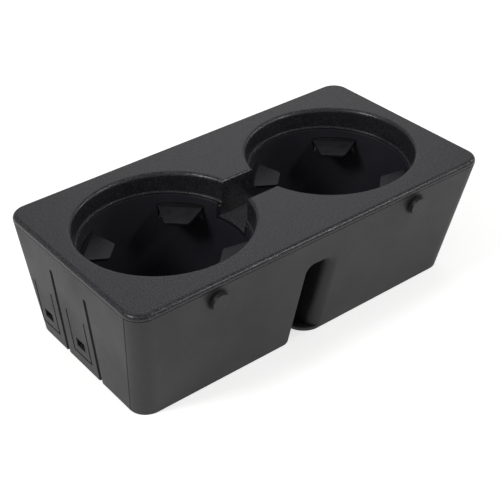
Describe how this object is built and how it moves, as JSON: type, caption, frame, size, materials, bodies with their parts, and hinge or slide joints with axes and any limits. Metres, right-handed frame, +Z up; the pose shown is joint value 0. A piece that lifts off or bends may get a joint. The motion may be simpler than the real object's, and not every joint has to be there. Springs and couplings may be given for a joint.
{
  "type": "car cup holder",
  "caption": "Rectangular console cup holder with round wells joined by a handle channel, bending rubber grip fingers, side locating pegs and latch tongues at one end.",
  "frame": {"origin": "on the flat base, under the middle of the deck", "axes": "+X along the two cups away from the latch end, -Y to the front wall with the pegs, +Z up"},
  "size_m": [0.224, 0.123, 0.068],
  "materials": {
    "deck_plastic": "grained black moulding",
    "housing_plastic": "smooth matt black moulding",
    "well_plastic": "smooth satin black moulding",
    "finger_rubber": "satin black rubber"
  },
  "bodies": {
    "holder": {"bezel": "deck_plastic", "housing": "housing_plastic", "well_left": "well_plastic", "well_right": "well_plastic"},
    "finger_l1": {"finger_l1": "finger_rubber"},
    "finger_l2": {"finger_l2": "finger_rubber"},
    "finger_l3": {"finger_l3": "finger_rubber"},
    "finger_l4": {"finger_l4": "finger_rubber"},
    "finger_r1": {"finger_r1": "finger_rubber"},
    "finger_r2": {"finger_r2": "finger_rubber"},
    "finger_r3": {"finger_r3": "finger_rubber"},
    "finger_r4": {"finger_r4": "finger_rubber"}
  },
  "joints": [
    {"name": "finger_l1_bend", "type": "hinge", "parent": "holder", "child": "finger_l1", "pos_m": [-0.02474, 0.03026, 0.049], "axis": [0.7071, -0.7071, 0], "range_deg": [0, 55], "stiffness_Nm_per_rad": 0.03, "springref_deg": -2.86},
    {"name": "finger_l2_bend", "type": "hinge", "parent": "holder", "child": "finger_l2", "pos_m": [-0.08526, 0.03026, 0.049], "axis": [0.7071, 0.7071, 0], "range_deg": [0, 55], "stiffness_Nm_per_rad": 0.03, "springref_deg": -2.86},
    {"name": "finger_l3_bend", "type": "hinge", "parent": "holder", "child": "finger_l3", "pos_m": [-0.08526, -0.03026, 0.049], "axis": [-0.7071, 0.7071, 0], "range_deg": [0, 55], "stiffness_Nm_per_rad": 0.03, "springref_deg": -2.86},
    {"name": "finger_l4_bend", "type": "hinge", "parent": "holder", "child": "finger_l4", "pos_m": [-0.02474, -0.03026, 0.049], "axis": [-0.7071, -0.7071, 0], "range_deg": [0, 55], "stiffness_Nm_per_rad": 0.03, "springref_deg": -2.86},
    {"name": "finger_r1_bend", "type": "hinge", "parent": "holder", "child": "finger_r1", "pos_m": [0.08526, 0.03026, 0.049], "axis": [0.7071, -0.7071, 0], "range_deg": [0, 55], "stiffness_Nm_per_rad": 0.03, "springref_deg": -2.86},
    {"name": "finger_r2_bend", "type": "hinge", "parent": "holder", "child": "finger_r2", "pos_m": [0.02474, 0.03026, 0.049], "axis": [0.7071, 0.7071, 0], "range_deg": [0, 55], "stiffness_Nm_per_rad": 0.03, "springref_deg": -2.86},
    {"name": "finger_r3_bend", "type": "hinge", "parent": "holder", "child": "finger_r3", "pos_m": [0.02474, -0.03026, 0.049], "axis": [-0.7071, 0.7071, 0], "range_deg": [0, 55], "stiffness_Nm_per_rad": 0.03, "springref_deg": -2.86},
    {"name": "finger_r4_bend", "type": "hinge", "parent": "holder", "child": "finger_r4", "pos_m": [0.08526, -0.03026, 0.049], "axis": [-0.7071, -0.7071, 0], "range_deg": [0, 55], "stiffness_Nm_per_rad": 0.03, "springref_deg": -2.86}
  ]
}
